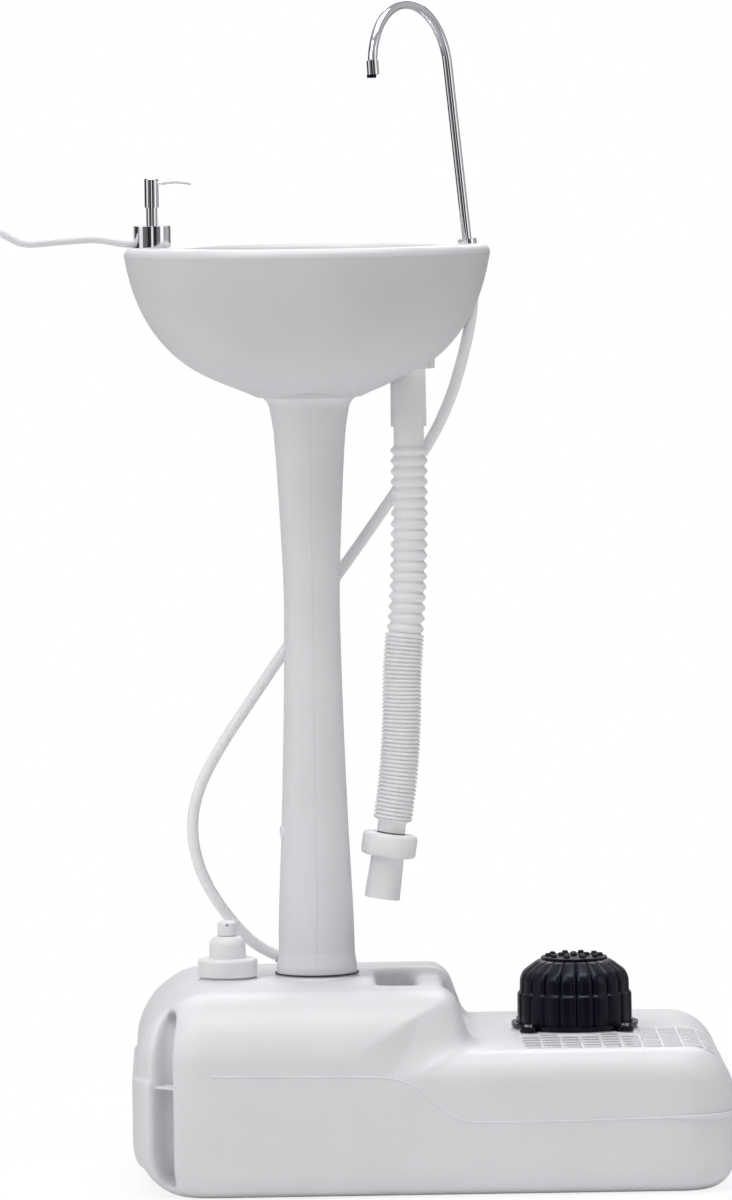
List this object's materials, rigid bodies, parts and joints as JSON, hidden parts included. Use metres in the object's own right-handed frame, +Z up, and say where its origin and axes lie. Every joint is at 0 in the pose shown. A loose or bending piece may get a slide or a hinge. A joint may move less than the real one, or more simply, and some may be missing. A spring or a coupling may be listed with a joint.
{
  "type": "camping sink stand",
  "caption": "Free-standing camping sink: water tank with foot pump and handle, hollow column, oval basin with swivel spout, soap pump, towel bar and drain hose.",
  "frame": {"origin": "on the floor under the middle of the tank", "axes": "+X towards the foot pump and the right of the front view, +Y to the back, +Z up"},
  "size_m": [0.627, 0.3552, 1.025],
  "materials": {
    "grey_plastic": "satin moulded",
    "pale_plastic": "satin",
    "white_tube": "soft gloss",
    "chrome": "polished",
    "black_rubber": "satin",
    "black_plastic": "satin",
    "seal_rubber": "matte",
    "steel": "bright",
    "clear_bottle": "satin"
  },
  "bodies": {
    "stand": {"tank": "grey_plastic", "column": "grey_plastic", "column_plug": "pale_plastic", "basin": "grey_plastic", "drain_strainer": "chrome", "drain_gasket": "seal_rubber", "drain_nut": "pale_plastic", "drain_adaptor": "pale_plastic", "drain_cuff": "pale_plastic", "drain_hose_open": "pale_plastic", "drain_hose_closed": "pale_plastic", "drain_neck": "pale_plastic", "drain_collar": "pale_plastic", "drain_end": "pale_plastic", "supply_hose": "white_tube", "hose_clamp_low": "steel", "hose_clamp_high": "steel", "delivery_barb": "pale_plastic", "delivery_tube": "white_tube", "faucet_ring": "chrome", "faucet_oring": "seal_rubber", "faucet_shank": "pale_plastic", "faucet_nut": "pale_plastic", "soap_collar": "chrome", "soap_bottle": "clear_bottle", "soap_barrel": "pale_plastic", "soap_dip_tube": "white_tube", "soap_spring": "steel", "pump_base": "black_plastic", "inlet_valve": "seal_rubber", "outlet_valve": "seal_rubber", "pump_flange": "black_plastic", "pump_screws": "steel", "pump_bellows": "black_rubber", "pump_spring": "steel", "pickup_tube": "white_tube", "pickup_strainer": "pale_plastic"},
    "pump_press_body": {"pump_tread": "black_rubber"},
    "soap_plunger": {"soap_stem": "chrome"},
    "soap_top": {"soap_head": "chrome"},
    "spout": {"faucet_tube": "chrome", "faucet_nozzle": "chrome"},
    "towel_arm": {"towel_bar": "pale_plastic"},
    "cap_rider": {"cap_seal": "seal_rubber"},
    "cap": {"filler_cap": "grey_plastic"},
    "vent": {"vent_knob": "grey_plastic"}
  },
  "joints": [
    {"name": "pump_press", "type": "slide", "parent": "stand", "child": "pump_press_body", "axis": [0, 0, -1], "range_m": [0, 0.025], "stiffness_N_per_m": 2400, "deforming": ["pump_bellows", "pump_spring"]},
    {"name": "soap_press", "type": "slide", "parent": "stand", "child": "soap_plunger", "axis": [0, 0, -1], "range_m": [0, 0.012], "stiffness_N_per_m": 800, "deforming": ["soap_spring"]},
    {"name": "soap_turn", "type": "hinge", "parent": "soap_plunger", "child": "soap_top", "pos_m": [-0.2315, 0, 0.86], "axis": [0, 0, 1], "continuous": true},
    {"name": "spout_swivel", "type": "hinge", "parent": "stand", "child": "spout", "pos_m": [0.0428, 0, 0.8125], "axis": [-0.0976, 0, 0.9952], "range_deg": [-90, 90]},
    {"name": "towel_swing", "type": "hinge", "parent": "stand", "child": "towel_arm", "pos_m": [-0.2315, 0, 0.8166], "axis": [0, 0, 1], "range_deg": [-80, 80]},
    {"name": "cap_lift", "type": "slide", "parent": "stand", "child": "cap_rider", "axis": [0, 0, 1], "range_m": [0, 0.006]},
    {"name": "cap_turn", "type": "hinge", "parent": "cap_rider", "child": "cap", "pos_m": [-0.175, 0, 0.1754], "axis": [0, 0, 1], "range_deg": [0, 540.5]},
    {"name": "vent_turn", "type": "hinge", "parent": "cap", "child": "vent", "pos_m": [-0.175, 0, 0.2105], "axis": [0, 0, 1], "range_deg": [0, 90]}
  ],
  "couplings": [
    {"joint": "cap_turn", "follows": "cap_lift", "rad_per_m": 1570.8}
  ]
}
